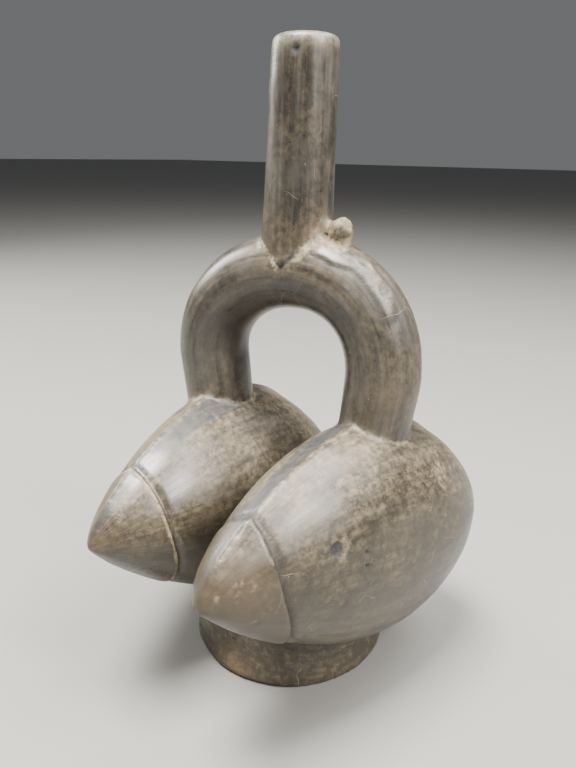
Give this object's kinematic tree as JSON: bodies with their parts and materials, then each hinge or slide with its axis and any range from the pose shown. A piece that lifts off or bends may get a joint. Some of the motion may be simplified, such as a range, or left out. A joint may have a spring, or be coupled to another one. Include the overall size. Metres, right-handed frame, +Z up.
{
  "type": "double-lobed stirrup spout vessel",
  "caption": "Burnished blackware vessel with two pointed nut-shaped lobes on a ring foot and a hollow stirrup handle that ends in a tall straight spout",
  "frame": {"origin": "on the floor under the middle of the vessel's outline, with the ring foot's underside at z = 0", "axes": "+Z is up, +X runs across the two lobes, and the lobes' noses point to -Y"},
  "size_m": [0.1212, 0.1338, 0.2213],
  "materials": {
    "burnished_clay": "burnished, worn, with pale deposit in the creases"
  },
  "bodies": {
    "root": {"stirrup_spout_vessel": "burnished_clay"}
  },
  "joints": []
}
